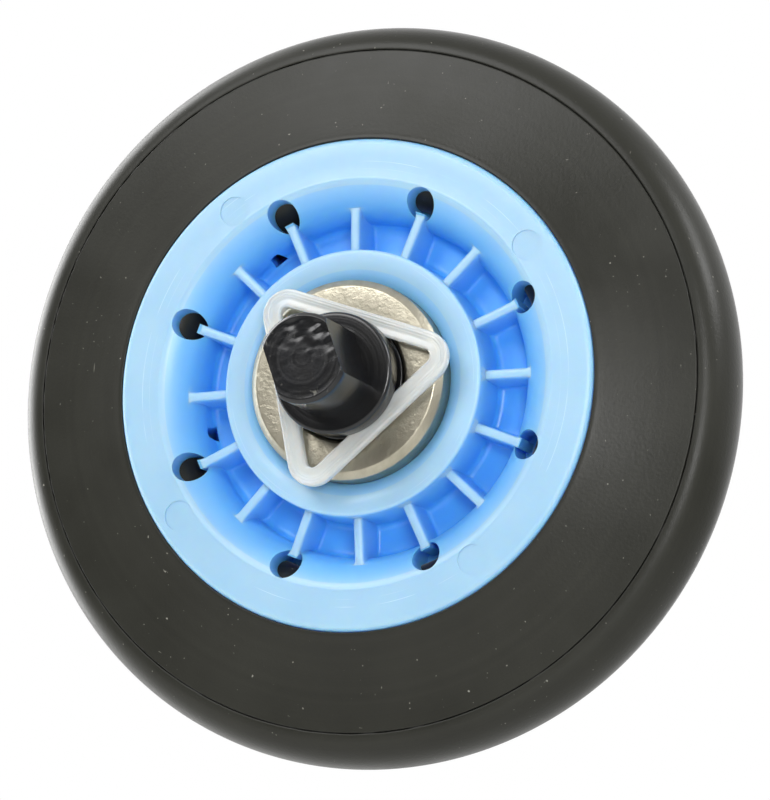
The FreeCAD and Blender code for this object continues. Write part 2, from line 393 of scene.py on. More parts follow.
def hub_profile():
    """Half the hub's section from the bush's seat round the front to the channel, with True where a rib may
    stand: boss lip and boss, pocket, dished bowl, rim and the outside of the flange."""
    lip_w = BOSS_WALL - BOSS_EDGE - BOSS_LAND
    lip_bend = (lip_w ** 2 + BOSS_LIP_DROP ** 2) / (2 * BOSS_LIP_DROP)
    lip_turn = math.degrees(math.asin(lip_w / lip_bend))
    foot_r = BOSS_R + (FLOOR_Y - FACE_Y) * math.tan(math.radians(BOSS_DRAFT))
    foot_y = FLOOR_Y - FLOOR_ROUND
    boss = np.vstack((
        bend((BOSS_SEAT_R + lip_w, FACE_Y + lip_bend), lip_bend, -90 - lip_turn, -90, 9),
        straight((BOSS_SEAT_R + lip_w, FACE_Y), (BOSS_R - BOSS_EDGE, FACE_Y), 1),
        bend((BOSS_R - BOSS_EDGE, FACE_Y + BOSS_EDGE), BOSS_EDGE, -90, 0, 6),
    ))
    pocket = np.vstack((
        straight((BOSS_R, FACE_Y + BOSS_EDGE), (foot_r, foot_y), 9),
        bend((foot_r + FLOOR_ROUND, foot_y), FLOOR_ROUND, 180, 90, 7),
        straight((foot_r + FLOOR_ROUND, FLOOR_Y), (BOWL_R - FLOOR_ROUND, FLOOR_Y), 4),
        bend((BOWL_R - FLOOR_ROUND, foot_y), FLOOR_ROUND, 90, 0, 7),
        bend(LIP_CENTRE, LIP_R, 180, 270 - LIP_SLOPE, 26),
    ))
    bead = np.linspace(0.06, 0.54, 5)[:, None]
    swell = MOUTH_BEAD * np.exp(-((bead - MOUTH_BEAD_OUT) / MOUTH_BEAD_W) ** 2)
    rim = np.vstack((
        pocket[-1] + bead * (1, 0) - swell * (0, 1),
        straight(pocket[-1] + (0.8, 0), (RIM_R - RIM_EDGE, FACE_Y), 2),
        bend((RIM_R - RIM_EDGE, FACE_Y + RIM_EDGE), RIM_EDGE, -90, 0, 7),
        [(RIM_R, LIP_CENTRE_Y - CHANNEL_LIP_R)],
        bend(LIP_CENTRE, CHANNEL_LIP_R, 270, 180, 10),
    ))
    ribbed = np.repeat((False, True, False), (len(boss), len(pocket), len(rim)))
    return np.vstack((boss, pocket, rim)), ribbed


def rib_columns(radius, height):
    """One side of a rib, for rows of the hub's section where it stands height above them: how far each
    column lies from the rib's middle plane, and how deep it is below the crest. Across go the flat
    crest, its rounded edge, the drafted wall and the fillet at its foot, each no larger than fits."""
    half = RIB_W / 2
    rounding = np.minimum(RIB_ROUND, 0.45 * height)
    fillet = np.minimum(RIB_FILLET, 0.45 * height)
    wall = height - rounding - fillet
    lean = 0.02 + wall * math.tan(math.radians(RIB_DRAFT))
    crest_turn = np.radians((0, 30, 60, 90))
    foot_turn = np.radians((0, 22.5, 45, 67.5, 90))
    down = np.array((0.25, 0.5, 0.75))
    spread = np.maximum(fillet, 0.08)
    aside = np.hstack((
        half - RIB_ROUND * (1 - np.sin(crest_turn)) + 0 * height,
        half + lean * down,
        half + lean + spread * (1 - np.cos(foot_turn)),
    ))
    depth = np.hstack((
        rounding * (1 - np.cos(crest_turn)),
        rounding + wall * down,
        rounding + wall + fillet * np.sin(foot_turn),
    ))
    return np.arcsin(aside / radius), depth


def hub_shape():
    """The hub as one closed grid: rows follow its section and columns go round. A row's point at angle a
    and radius r is at x = r cos a and z = r sin a, and the ribs of the front lift it to their own height."""
    front, ribbed = hub_profile()
    back = mirrored(front)
    points = np.vstack((front, back))
    stands = np.append(ribbed, np.zeros(len(back), bool))[:, None]
    radius, y = points[:, :1], points[:, 1:]
    crest_start = BOSS_R - BOSS_EDGE
    crest = FACE_Y + RIB_DROP + RIB_FALL * (radius - crest_start) / (ROOT_R - BOND_GAP - crest_start)
    height = np.where(stands, np.maximum(y - crest, 0), 0)
    turn, depth = rib_columns(radius, height)
    pitch = math.radians(RIB_PITCH)
    bay = np.arange(1, 9) / 9
    first, last = turn[:, -1:], pitch - turn[:, -1:]
    middle = np.zeros_like(radius)
    turns = np.hstack((middle, turn, first + (last - first) * bay, pitch - turn[:, ::-1]))
    below = np.hstack((middle, depth, height + 0 * bay, depth[:, ::-1]))
    lifted = y - height + below
    starts = np.radians(RIB_PHASE + RIB_PITCH * np.arange(RIB_COUNT))
    angle = np.hstack([start + turns for start in starts])
    across = np.tile(lifted, RIB_COUNT)
    grid = np.dstack((radius * np.cos(angle), across, radius * np.sin(angle)))
    mesh = cut("hub", skin("hub", grid), hub_cutters())
    store_depth(mesh)
    return mesh


def store_depth(mesh):
    """Gives each corner of the hub how far it lies below the face on its side, or below the rib's crest
    within a rib's width, in millimetres, as the attribute depth, by which the hub's material paints shade."""
    co = np.empty(len(mesh.vertices) * 3)
    mesh.vertices.foreach_get("co", co)
    x, y, z = co.reshape(-1, 3).T / MM
    radius = np.hypot(x, z)
    pitch = math.radians(RIB_PITCH)
    turn = np.mod(np.arctan2(z, x) - math.radians(RIB_PHASE) + pitch / 2, pitch) - pitch / 2
    aside = np.abs(radius * np.sin(turn))
    crest = RIB_DROP + RIB_FALL * (radius - BOSS_R) / (ROOT_R - BOSS_R)
    ribbed = (radius > BOSS_R) & (radius < BOWL_R + RIB_TIP_OUT) & (y < 0)
    on_rib = np.clip((RIB_W / 2 + 0.3 - aside) / 0.2, 0, 1) * ribbed
    depth = np.clip(-FACE_Y - np.abs(y) - on_rib * crest, 0, FLOOR_Y - FACE_Y)
    layer = mesh.attributes.new("depth", "FLOAT", "POINT")
    layer.data.foreach_set("value", depth)


def radial_frame(angle):
    """Unit vectors at an angle about the spin axis: outwards, and across to the anticlockwise side."""
    turn = math.radians(angle)
    return np.array((math.cos(turn), 0, math.sin(turn))), np.array((-math.sin(turn), 0, math.cos(turn)))


def hub_cutters():
    """The hub's holes, windows and marks. Holes are round bars parallel to the axis, notched where the end
    of the rib stands out into them; windows are arched bars that lean back as they go out through the
    bowl's wall to the tyre."""
    shapes = []
    axis = np.array((0, 1, 0))
    for index in range(1, RIB_COUNT, 2):
        outwards, across = radial_frame(RIB_PHASE + index * RIB_PITCH)
        notch = math.asin(RIB_W / HOLE_D)
        turn = np.linspace(np.pi + notch, 3 * np.pi - notch, 40)
        u = np.append(np.cos(turn), (-0.55, -0.55)) * HOLE_D / 2
        v = np.append(np.sin(turn), (math.sin(notch), -math.sin(notch))) * HOLE_D / 2
        centre = outwards * (BOWL_R + HOLE_OUT) + axis * (FACE_Y - 1)
        outline = centre + u[:, None] * outwards + v[:, None] * across
        shapes.append(cutter("hole", outline, axis * (FLOOR_Y - FACE_Y + 1)))
    top = np.radians(np.linspace(0, 180, 15))
    half = WINDOW_W / 2
    u = np.concatenate(((half,), WINDOW_TOP_R * np.cos(top), (-half,)))
    foot_y = FLOOR_Y - WINDOW_FOOT
    spring_y = foot_y - WINDOW_H + WINDOW_TOP_R
    v = np.concatenate(((foot_y,), spring_y - WINDOW_TOP_R * np.sin(top), (foot_y,)))
    for bay in WINDOW_BAYS:
        outwards, across = radial_frame(RIB_PHASE + (bay + 0.5) * RIB_PITCH)
        outline = outwards * (BOWL_R - FLOOR_ROUND) + u[:, None] * across + v[:, None] * axis
        outline = outline + outwards * (FLOOR_ROUND - 0.3)
        shapes.append(cutter("window", outline, outwards * (WALL + 0.6) + axis * WINDOW_LEAN))
    round_mark = np.linspace(0, 2 * np.pi, 48, endpoint=False)
    for bay in MARK_BAYS:
        outwards, across = radial_frame(RIB_PHASE + (bay + 0.5) * RIB_PITCH)
        centre = outwards * (RIM_R - MARK_INSET) + axis * (FACE_Y - 1)
        u, v = (MARK_D / 2 * f(round_mark)[:, None] for f in (np.cos, np.sin))
        shapes.append(cutter("mark", centre + u * outwards + v * across, axis * (1 + MARK_SINK)))
    return shapes


def rounded(corners, radius, steps=4):
    """A closed section with each corner rounded by a quadratic curve that starts and ends radius from it:
    the corner weighs 2t(1 - t), and the two ends (1 - t) squared and t squared."""
    corners = np.array(corners, float)
    before = np.roll(corners, 1, axis=0) - corners
    after = np.roll(corners, -1, axis=0) - corners
    reach = np.minimum(radius, 0.45 * np.minimum(np.hypot(*before.T), np.hypot(*after.T)))[:, None]
    start = corners + before / np.hypot(*before.T)[:, None] * reach
    end = corners + after / np.hypot(*after.T)[:, None] * reach
    t = np.linspace(0, 1, steps)[:, None, None]
    curve = (1 - t) ** 2 * start + 2 * t * (1 - t) * corners + t ** 2 * end
    return curve.transpose(1, 0, 2).reshape(-1, 2)


def bush_shape():
    """The bush's turned section: a sleeve chamfered at both ends, with softly broken edges."""
    back_y = -BUSH_Y
    return skin("bush", turned(rounded([
        (BUSH_BORE_R, BUSH_Y + BORE_CHAMFER),
        (BUSH_BORE_R + BORE_CHAMFER, BUSH_Y),
        (BUSH_R - BUSH_CHAMFER_W, BUSH_Y),
        (BUSH_R, BUSH_Y + BUSH_CHAMFER_L),
        (BUSH_R, back_y - BUSH_CHAMFER_L),
        (BUSH_R - BUSH_CHAMFER_W, back_y),
        (BUSH_BORE_R + BORE_CHAMFER, back_y),
        (BUSH_BORE_R, back_y - BORE_CHAMFER),
    ], BUSH_EDGE), 256))


def washer_shape():
    """The washer's turned section: a flat ring with rolled edges."""
    bore_r = GROOVE_R + GROOVE_DEPTH + WASHER_GAP
    return skin("washer", turned(rounded([
        (bore_r, WASHER_Y),
        (high("thrust_washer", 0), WASHER_Y),
        (high("thrust_washer", 0), COLLAR_Y),
        (bore_r, COLLAR_Y),
    ], WASHER_EDGE, 5), 192))


def clip_shape():
    """The clip: one section carried round a triangle with round corners. A point w out from the inside is
    at centre + (corner radius + w) n, where the normal n turns at each corner while the centre stands
    still, and stays along each side while the centre moves to the next corner. The section is a flat
    bar whose front is hollowed along its middle by a bell curve and drawn into fine lengthwise lines."""
    inside = GROOVE_R + CLIP_GAP
    corner = np.radians(CLIP_ANGLE + 60 + 120 * np.arange(4))[:, None]
    reach = 2 * (inside - CLIP_CORNER)
    turn = np.radians(np.linspace(-60, 60, 25))
    go = np.linspace(0, 1, 30)[None, 1:-1]
    normal = np.hstack((corner[:3] + turn, corner[:3] + turn[-1] + 0 * go)).ravel()
    centres = reach * np.dstack((np.cos(corner), np.sin(corner)))[:, 0]
    still = np.repeat(centres[:3, None], turn.size, axis=1)
    moving = centres[:3, None] * (1 - go[..., None]) + centres[1:, None] * go[..., None]
    centre = np.hstack((still, moving)).reshape(-1, 2)
    outer = CLIP_BAR - CLIP_EDGE
    w = np.linspace(CLIP_EDGE, outer, 26)
    hollow = CLIP_TROUGH * np.exp(-((w - 0.45 * CLIP_BAR) / CLIP_TROUGH_W) ** 2)
    wave = np.clip(np.cos(2 * np.pi * (w - 1.25) / CLIP_LINE_PITCH), 0, 1)
    lines = CLIP_LINE_DEPTH * wave * (w > CLIP_BAR / 2)
    front = np.column_stack((w, CLIP_FRONT_Y + hollow + lines))
    front_y, back_y = CLIP_FRONT_Y + CLIP_EDGE, CLIP_BACK_Y - CLIP_EDGE
    sides = np.vstack((
        front,
        bend((outer, front_y), CLIP_EDGE, -90, 0, 7)[1:],
        bend((outer, back_y), CLIP_EDGE, 0, 90, 7),
        bend((CLIP_EDGE, back_y), CLIP_EDGE, 90, 180, 7),
        bend((CLIP_EDGE, front_y), CLIP_EDGE, 180, 270, 7)[:-1],
    ))
    out = CLIP_CORNER + sides[:, :1]
    x = centre[:, 0] + out * np.cos(normal)
    z = centre[:, 1] + out * np.sin(normal)
    return skin("clip", np.dstack((x, sides[:, 1:] + 0 * x, z)))


def torn(x, z, size, seed):
    """A rough field from 0 to 1: random heights on a square net of points size apart, joined smoothly."""
    net = np.random.default_rng(seed).uniform(0, 1, (SHEAR_NET, SHEAR_NET))
    column, row = np.floor(x / size).astype(int), np.floor(z / size).astype(int)
    a, b = x / size - column, z / size - row
    a, b = a * a * (3 - 2 * a), b * b * (3 - 2 * b)
    i, j = column % SHEAR_NET, row % SHEAR_NET
    next_i, next_j = (i + 1) % SHEAR_NET, (j + 1) % SHEAR_NET
    near = net[i, j] * (1 - a) + net[next_i, j] * a
    far = net[i, next_j] * (1 - a) + net[next_i, next_j] * a
    return near * (1 - b) + far * b


def shaft_shape():
    """The shaft's turned section with a double-D stub and a threaded stud. On the stub, a point's
    distance from the middle between the flats is cut off at half their width. The thread's radius falls
    from the crest by a rounded zigzag of y less the pitch times the turn. The stub's end is sheared off:
    rough fields, stretched along the shear, sink it between ridges that are highest towards its top."""
    body_r, stub_r, stud_r = SHAFT_D / 2, STUB_D / 2, STUD_D / 2
    groove_front, groove_back = CLIP_FRONT_Y - CLIP_GAP, CLIP_BACK_Y + CLIP_GAP
    flat_end = math.degrees(math.acos(STUB_FLATS / STUB_D))
    end = straight((0, STUB_Y), (stub_r - STUB_EDGE, STUB_Y), 34)
    stub = np.vstack((
        [(0, STUB_Y)],
        end,
        bend((stub_r - STUB_EDGE, STUB_Y + FINE_EDGE), FINE_EDGE, -90, -45, 3),
        bend((stub_r - FINE_EDGE, STUB_Y + STUB_EDGE), FINE_EDGE, -45, 0, 3),
        straight((stub_r, STUB_Y + STUB_EDGE), (stub_r, SHOULDER_Y), 8),
        [(stub_r, SHOULDER_Y - 0.001)],
    ))
    body = np.vstack((
        [(stub_r + 0.01, SHOULDER_Y)],
        straight((stub_r, SHOULDER_Y), (body_r - SHOULDER_ROUND, SHOULDER_Y), 2),
        bend((body_r - SHOULDER_ROUND, SHOULDER_Y + SHOULDER_ROUND), SHOULDER_ROUND, -90, 0, 8),
        bend((body_r - FINE_EDGE, groove_front - FINE_EDGE), FINE_EDGE, 0, 90, 4),
        [(GROOVE_R, groove_front), (GROOVE_R, groove_back)],
        bend((body_r - FINE_EDGE, groove_back + FINE_EDGE), FINE_EDGE, -90, 0, 4),
        [(body_r, COLLAR_Y)],
        bend((COLLAR_R - COLLAR_EDGE, COLLAR_Y + COLLAR_EDGE), COLLAR_EDGE, -90, 0, 5),
        bend((COLLAR_R - COLLAR_EDGE, SEAT_Y - COLLAR_EDGE), COLLAR_EDGE, 0, 90, 5),
        [(stud_r, SEAT_Y)],
    ))
    stud = np.vstack((
        straight((stud_r, SEAT_Y), (stud_r, STUD_END_Y), 130),
        straight((stud_r, STUD_END_Y), (stud_r - STUD_TIP, STUD_TIP_Y), 12),
        [(stud_r - STUD_TIP, STUD_TIP_Y), ((stud_r - STUD_TIP) / 2, STUD_TIP_Y), (0, STUD_TIP_Y)],
    ))
    corners = np.array((flat_end, 180 - flat_end, 180 + flat_end, 360 - flat_end))
    sweep = np.sort(np.concatenate((np.arange(0, 360, 2.5), corners - 1, corners, corners + 1)))
    angle = np.radians(sweep)[None]
    points = np.vstack((stub, body, stud))
    radius = points[:, :1] + 0 * angle
    y = points[:, 1:] + 0 * angle
    on_stud = (y > SEAT_Y) & (y < STUD_TIP_Y - 0.01)
    phase = np.mod(y / THREAD_PITCH - angle / (2 * np.pi), 1)
    groove = THREAD_DEPTH * np.clip(1.25 * (1 - np.abs(2 * phase - 1)) - 0.1, 0, 1)
    runout = np.clip((y - SEAT_Y - 0.6) / THREAD_PITCH, 0, 1)
    radius = np.where(on_stud, np.minimum(radius, stud_r - groove * runout), radius)
    u, v = radius * np.cos(angle), radius * np.sin(angle)
    on_stub = np.arange(len(points))[:, None] < len(stub)
    u = np.where(on_stub, np.clip(u, -STUB_FLATS / 2, STUB_FLATS / 2), u)
    face = np.arange(len(points))[:, None] <= len(end)
    grain = math.radians(SHEAR_ANGLE - FLATS_ANGLE)
    along = u * math.cos(grain) + v * math.sin(grain)
    across = v * math.cos(grain) - u * math.sin(grain)
    torn_side = np.clip((v + 0.7 * u) / 4, 0.1, 1)
    ridges = 0.8 * torn_side * torn(along / 2, across, 0.5, 5) + 0.4 * torn(u, v, 3, 7)
    fade = np.clip((stub_r - STUB_EDGE - radius) / 0.4, 0, 1)
    y = np.where(face, STUB_Y + SHEAR_RELIEF * fade * ridges, y)
    turn = math.radians(FLATS_ANGLE)
    x = u * math.cos(turn) - v * math.sin(turn)
    z = u * math.sin(turn) + v * math.cos(turn)
    return skin("shaft", np.dstack((x, y, z)), rows_meet=False)


def linear(hex_colour):
    """An sRGB hex colour as linear red, green, blue and alpha."""
    channels = [int(hex_colour[i:i + 2], 16) / 255 for i in (1, 3, 5)]
    curve = [c / 12.92 if c <= 0.04045 else ((c + 0.055) / 1.055) ** 2.4 for c in channels]
    return (*curve, 1.0)


def node(tree, kind, settings=None, inputs=None):
    """Adds one node; settings are its properties, and each input is a value or an output socket to link."""
    made = tree.nodes.new(kind)
    for name, value in (settings or {}).items():
        setattr(made, name, value)
    for name, value in (inputs or {}).items():
        if isinstance(value, bpy.types.NodeSocket):
            tree.links.new(value, made.inputs[name])
        else:
            made.inputs[name].default_value = value
    return made


def new_material(name):
    """An empty node material and its tree."""
    material = bpy.data.materials.new(name)
    material.use_nodes = True
    material.node_tree.nodes.clear()
    return material, material.node_tree


def surface(tree, **inputs):
    """The surface shader of a material; underscores in the names stand for spaces."""
    values = {name.replace("_", " "): value for name, value in inputs.items()}
    shader = node(tree, "ShaderNodeBsdfPrincipled", None, values)
    node(tree, "ShaderNodeOutputMaterial", None, {"Surface": shader.outputs[0]})


def object_place(tree):
    """A point's place in its object, in metres."""
    return node(tree, "ShaderNodeTexCoord").outputs["Object"]


def polar(tree, place):
    """Where a place lies: its radius from the spin axis, its y, and a vector whose parts are radius and y,
    on which a pattern runs round the axis in rings."""
    parts = node(tree, "ShaderNodeSeparateXYZ", None, {0: place})
    flat = node(tree, "ShaderNodeCombineXYZ", None, {0: parts.outputs[0], 1: parts.outputs[2]})
    length = node(tree, "ShaderNodeVectorMath", {"operation": "LENGTH"}, {0: flat.outputs[0]})
    radius = length.outputs["Value"]
    rings = node(tree, "ShaderNodeCombineXYZ", None, {0: radius, 1: parts.outputs[1]}).outputs[0]
    return radius, parts.outputs[1], rings


def per(size):
    """The scale that gives a noise features of a size in millimetres, in an object measured in metres."""
    return 1 / (size * MM)


def nitrile_rubber():
    """Moulded nitrile rubber: black with a brown cast and a dry satin sheen, faint rings left by the mould's
    turning, cloudy patches from handling, painted shade along the moulding line's dip, and pale specks and
    fibres of dust."""
    material, tree = new_material("nitrile_rubber")
    place = object_place(tree)
    radius, _, rings = polar(tree, place)
    cloud = node(tree, "ShaderNodeTexNoise", None, {"Vector": place, "Scale": per(9), "Detail": 4.0})
    turning = node(tree, "ShaderNodeTexNoise", None, {"Vector": rings, "Scale": per(0.5), "Detail": 3.0})
    pores = node(tree, "ShaderNodeTexNoise", None, {"Vector": place, "Scale": per(0.35), "Detail": 5.0})
    base = node(tree, "ShaderNodeMix", {"data_type": "RGBA"}, {
        0: cloud.outputs[0], 6: linear("#1f1f1a"), 7: linear("#2b2b25")})
    ringed = node(tree, "ShaderNodeMapRange", None, {
        "Value": turning.outputs[0], "From Min": 0.35, "From Max": 0.65, "To Min": 0.94, "To Max": 1.06})
    # Painted shade: inside the moulding line's dip the colour is cut to about a fifth, as if the groove lay
    # in shade
    aside = node(tree, "ShaderNodeMath", {"operation": "COMPARE"}, {
        0: radius, 1: (LINE_R - LINE_INSET) * MM, 2: LINE_W * MM})
    rings_and_painted_line_shade = node(tree, "ShaderNodeMath", {"operation": "MULTIPLY_ADD"}, {
        0: aside.outputs[0], 1: -0.8, 2: ringed.outputs[0]})
    toned = node(tree, "ShaderNodeVectorMath", {"operation": "SCALE"}, {
        0: base.outputs[2], "Scale": rings_and_painted_line_shade.outputs[0]})
    motes = node(tree, "ShaderNodeTexNoise", None, {"Vector": place, "Scale": per(0.5), "Detail": 1.0})
    dust = node(tree, "ShaderNodeMapRange", None, {
        "Value": motes.outputs[0], "From Min": 0.76, "From Max": 0.84, "To Min": 0.0, "To Max": 0.6})
    drawn = node(tree, "ShaderNodeMapping", None, {
        "Vector": place, "Rotation": (0.3, 0.9, 0.5), "Scale": (1, 1, 0.12)})
    threads = node(tree, "ShaderNodeTexVoronoi", None, {"Vector": drawn.outputs[0], "Scale": per(3.6)})
    lint = node(tree, "ShaderNodeMapRange", None, {
        "Value": threads.outputs["Distance"], "From Min": 0.035, "From Max": 0.02,
        "To Min": 0.0, "To Max": 0.7})
    rare = node(tree, "ShaderNodeSeparateXYZ", None, {0: threads.outputs["Color"]})
    rarer = node(tree, "ShaderNodeMath", {"operation": "GREATER_THAN"}, {0: rare.outputs[1], 1: 0.8})
    strands = node(tree, "ShaderNodeMath", {"operation": "MULTIPLY"}, {
        0: lint.outputs[0], 1: rarer.outputs[0]})
    dirt = node(tree, "ShaderNodeMath", {"operation": "MAXIMUM"}, {
        0: dust.outputs[0], 1: strands.outputs[0]})
    colour = node(tree, "ShaderNodeMix", {"data_type": "RGBA"}, {
        0: dirt.outputs[0], 6: toned.outputs[0], 7: linear("#a9a69c")})
    gloss = node(tree, "ShaderNodeMapRange", None, {
        "Value": cloud.outputs[0], "From Min": 0.3, "From Max": 0.7, "To Min": 0.32, "To Max": 0.42})
    relief = node(tree, "ShaderNodeMath", {"operation": "MULTIPLY_ADD"}, {
        0: turning.outputs[0], 1: 0.2, 2: pores.outputs[0]})
    bump = node(tree, "ShaderNodeBump", None, {
        "Height": relief.outputs[0], "Strength": 0.35, "Distance": 0.05 * MM})
    surface(tree, Base_Color=colour.outputs[2], Roughness=gloss.outputs[0], Normal=bump.outputs[0],
            IOR=1.5, Specular_IOR_Level=0.25, Sheen_Weight=0.3, Sheen_Roughness=0.3)
    return material


def blue_polyamide():
    """Moulded light blue polyamide: satin and slightly translucent, so that thin edges glow; painted shade
    turns it a deeper, stronger blue the lower a place lies in the pocket or below a rib's crest; fine rings
    of scuffs on the rim."""
    material, tree = new_material("blue_polyamide")
    place = object_place(tree)
    _, y, rings = polar(tree, place)
    # Painted shade: how far a place lies below the face or a rib's crest mixes the pale blue towards a deeper
    # blue, as if the pocket were lit only by light bounced about in it
    sunk = node(tree, "ShaderNodeAttribute", {"attribute_name": "depth"}).outputs["Fac"]
    painted_shade_share = node(tree, "ShaderNodeMapRange", None, {
        "Value": sunk, "From Min": MARK_SINK + 0.02, "From Max": FLOOR_Y - FACE_Y})
    depth = node(tree, "ShaderNodeMath", {"operation": "POWER"}, {0: painted_shade_share.outputs[0], 1: 0.24})
    cloud = node(tree, "ShaderNodeTexNoise", None, {"Vector": place, "Scale": per(6), "Detail": 3.0})
    pale = node(tree, "ShaderNodeMix", {"data_type": "RGBA"}, {
        0: cloud.outputs[0], 6: linear("#97bfdb"), 7: linear("#a2c7df")})
    # Painted shade: the lower places take the deeper blue #55b0f5
    painted_pocket_shade = node(tree, "ShaderNodeMix", {"data_type": "RGBA"}, {
        0: depth.outputs[0], 6: pale.outputs[2], 7: linear("#55b0f5")})
    scuffs = node(tree, "ShaderNodeTexNoise", None, {"Vector": rings, "Scale": per(0.16), "Detail": 1.0})
    patch = node(tree, "ShaderNodeTexNoise", None, {"Vector": place, "Scale": per(5), "Detail": 1.0})
    line = node(tree, "ShaderNodeMapRange", None, {
        "Value": scuffs.outputs[0], "From Min": 0.66, "From Max": 0.74, "To Min": 0.0, "To Max": 0.6})
    here = node(tree, "ShaderNodeMapRange", None, {
        "Value": patch.outputs[0], "From Min": 0.5, "From Max": 0.62, "To Min": 0.0, "To Max": 1.0})
    on_rim = node(tree, "ShaderNodeMath", {"operation": "LESS_THAN"}, {0: y, 1: (FACE_Y + 0.3) * MM})
    scuff = node(tree, "ShaderNodeMath", {"operation": "MULTIPLY"}, {
        0: line.outputs[0], 1: here.outputs[0]})
    scuffed = node(tree, "ShaderNodeMath", {"operation": "MULTIPLY"}, {
        0: scuff.outputs[0], 1: on_rim.outputs[0]})
    colour = node(tree, "ShaderNodeMix", {"data_type": "RGBA"}, {
        0: scuffed.outputs[0], 6: painted_pocket_shade.outputs[2], 7: linear("#e4f2fb")})
    gloss = node(tree, "ShaderNodeMapRange", None, {
        "Value": cloud.outputs[0], "From Min": 0.3, "From Max": 0.7, "To Min": 0.3, "To Max": 0.4})
    grain = node(tree, "ShaderNodeTexNoise", None, {"Vector": place, "Scale": per(0.5), "Detail": 4.0})
    bump = node(tree, "ShaderNodeBump", None, {
        "Height": grain.outputs[0], "Strength": 0.15, "Distance": 0.05 * MM})
    surface(tree, Base_Color=colour.outputs[2], Roughness=gloss.outputs[0], Normal=bump.outputs[0], IOR=1.53,
            Subsurface_Weight=0.6, Subsurface_Radius=(0.25, 0.5, 1.0), Subsurface_Scale=2 * MM)
    return material


def sintered_iron():
    """Sintered iron, oiled and rubbed: a warm pale grey metal, grainy with pores and brighter where it is
    worn."""
    material, tree = new_material("sintered_iron")
    place = object_place(tree)
    grain = node(tree, "ShaderNodeTexNoise", None, {
        "Vector": place, "Scale": per(0.45), "Detail": 6.0, "Roughness": 0.65})
    smear = node(tree, "ShaderNodeMapping", None, {
        "Vector": place, "Rotation": (0, 0.7, 0), "Scale": (1, 1, 0.25)})
    wear = node(tree, "ShaderNodeTexNoise", None, {
        "Vector": smear.outputs[0], "Scale": per(1.2), "Detail": 4.0})
    colour = node(tree, "ShaderNodeMix", {"data_type": "RGBA"}, {
        0: wear.outputs[0], 6: linear("#8d8878"), 7: linear("#bcb6a5")})
    gloss = node(tree, "ShaderNodeMapRange", None, {
        "Value": wear.outputs[0], "From Min": 0.3, "From Max": 0.7, "To Min": 0.36, "To Max": 0.28})
    relief = node(tree, "ShaderNodeMath", {"operation": "MULTIPLY_ADD"}, {
        0: wear.outputs[0], 1: 0.8, 2: grain.outputs[0]})
    bump = node(tree, "ShaderNodeBump", None, {
        "Height": relief.outputs[0], "Strength": 0.8, "Distance": 0.07 * MM})
    surface(tree, Base_Color=colour.outputs[2], Roughness=gloss.outputs[0], Normal=bump.outputs[0],
            Metallic=1.0)
    return material


def black_oxide_steel():
    """Turned and sheared steel, blackened in hot salts and oiled: near black with a blue cast, fine turning
    lines round it, and bright metal showing through on the ridges of the sheared end."""
    material, tree = new_material("black_oxide_steel")
    place = object_place(tree)
    _, y, rings = polar(tree, place)
    turning = node(tree, "ShaderNodeTexNoise", None, {"Vector": rings, "Scale": per(0.25), "Detail": 3.0})
    stain = node(tree, "ShaderNodeTexNoise", None, {"Vector": place, "Scale": per(2.5), "Detail": 4.0})
    base = node(tree, "ShaderNodeMix", {"data_type": "RGBA"}, {
        0: stain.outputs[0], 6: linear("#0b0e14"), 7: linear("#191816")})
    on_end = node(tree, "ShaderNodeMapRange", None, {
        "Value": y, "From Min": (STUB_Y + 0.25) * MM, "From Max": (STUB_Y + 0.02) * MM})
    slanted = node(tree, "ShaderNodeMapping", None, {"Vector": place, "Rotation": (0.6, 0.5, 0.9)})
    flecks = node(tree, "ShaderNodeTexNoise", None, {
        "Vector": slanted.outputs[0], "Scale": per(0.9), "Detail": 5.0, "Roughness": 0.65, "Distortion": 0.8})
    worn = node(tree, "ShaderNodeMapRange", None, {
        "Value": flecks.outputs[0], "From Min": 0.64, "From Max": 0.74, "To Min": 0.0, "To Max": 0.8})
    bare = node(tree, "ShaderNodeMath", {"operation": "MULTIPLY"}, {
        0: worn.outputs[0], 1: on_end.outputs[0]})
    colour = node(tree, "ShaderNodeMix", {"data_type": "RGBA"}, {
        0: bare.outputs[0], 6: base.outputs[2], 7: linear("#a5a399")})
    gloss = node(tree, "ShaderNodeMapRange", None, {
        "Value": turning.outputs[0], "From Min": 0.3, "From Max": 0.7, "To Min": 0.16, "To Max": 0.26})
    relief = node(tree, "ShaderNodeMix", {"data_type": "FLOAT"}, {
        0: on_end.outputs[0], 2: turning.outputs[0], 3: flecks.outputs[0]})
    bump = node(tree, "ShaderNodeBump", None, {
        "Height": relief.outputs[0], "Strength": 0.25, "Distance": 0.04 * MM})
    surface(tree, Base_Color=colour.outputs[2], Roughness=gloss.outputs[0], Normal=bump.outputs[0],
            Metallic=bare.outputs[0], IOR=1.5)
    return material


def natural_nylon():
    """Undyed nylon bar: milky, waxy and translucent, with faint cloudy threads along it."""
    material, tree = new_material("natural_nylon")
    place = object_place(tree)
    cloud = node(tree, "ShaderNodeTexNoise", None, {"Vector": place, "Scale": per(2.2), "Detail": 3.0})
    colour = node(tree, "ShaderNodeMix", {"data_type": "RGBA"}, {
        0: cloud.outputs[0], 6: linear("#e4ebee"), 7: linear("#fafbf7")})
    bump = node(tree, "ShaderNodeBump", None, {
        "Height": cloud.outputs[0], "Strength": 0.2, "Distance": 0.1 * MM})
    surface(tree, Base_Color=colour.outputs[2], Roughness=0.16, Normal=bump.outputs[0], IOR=1.53,
            Transmission_Weight=0.5, Subsurface_Weight=0.8, Subsurface_Radius=(0.8, 0.9, 1.0),
            Subsurface_Scale=1.2 * MM)
    return material


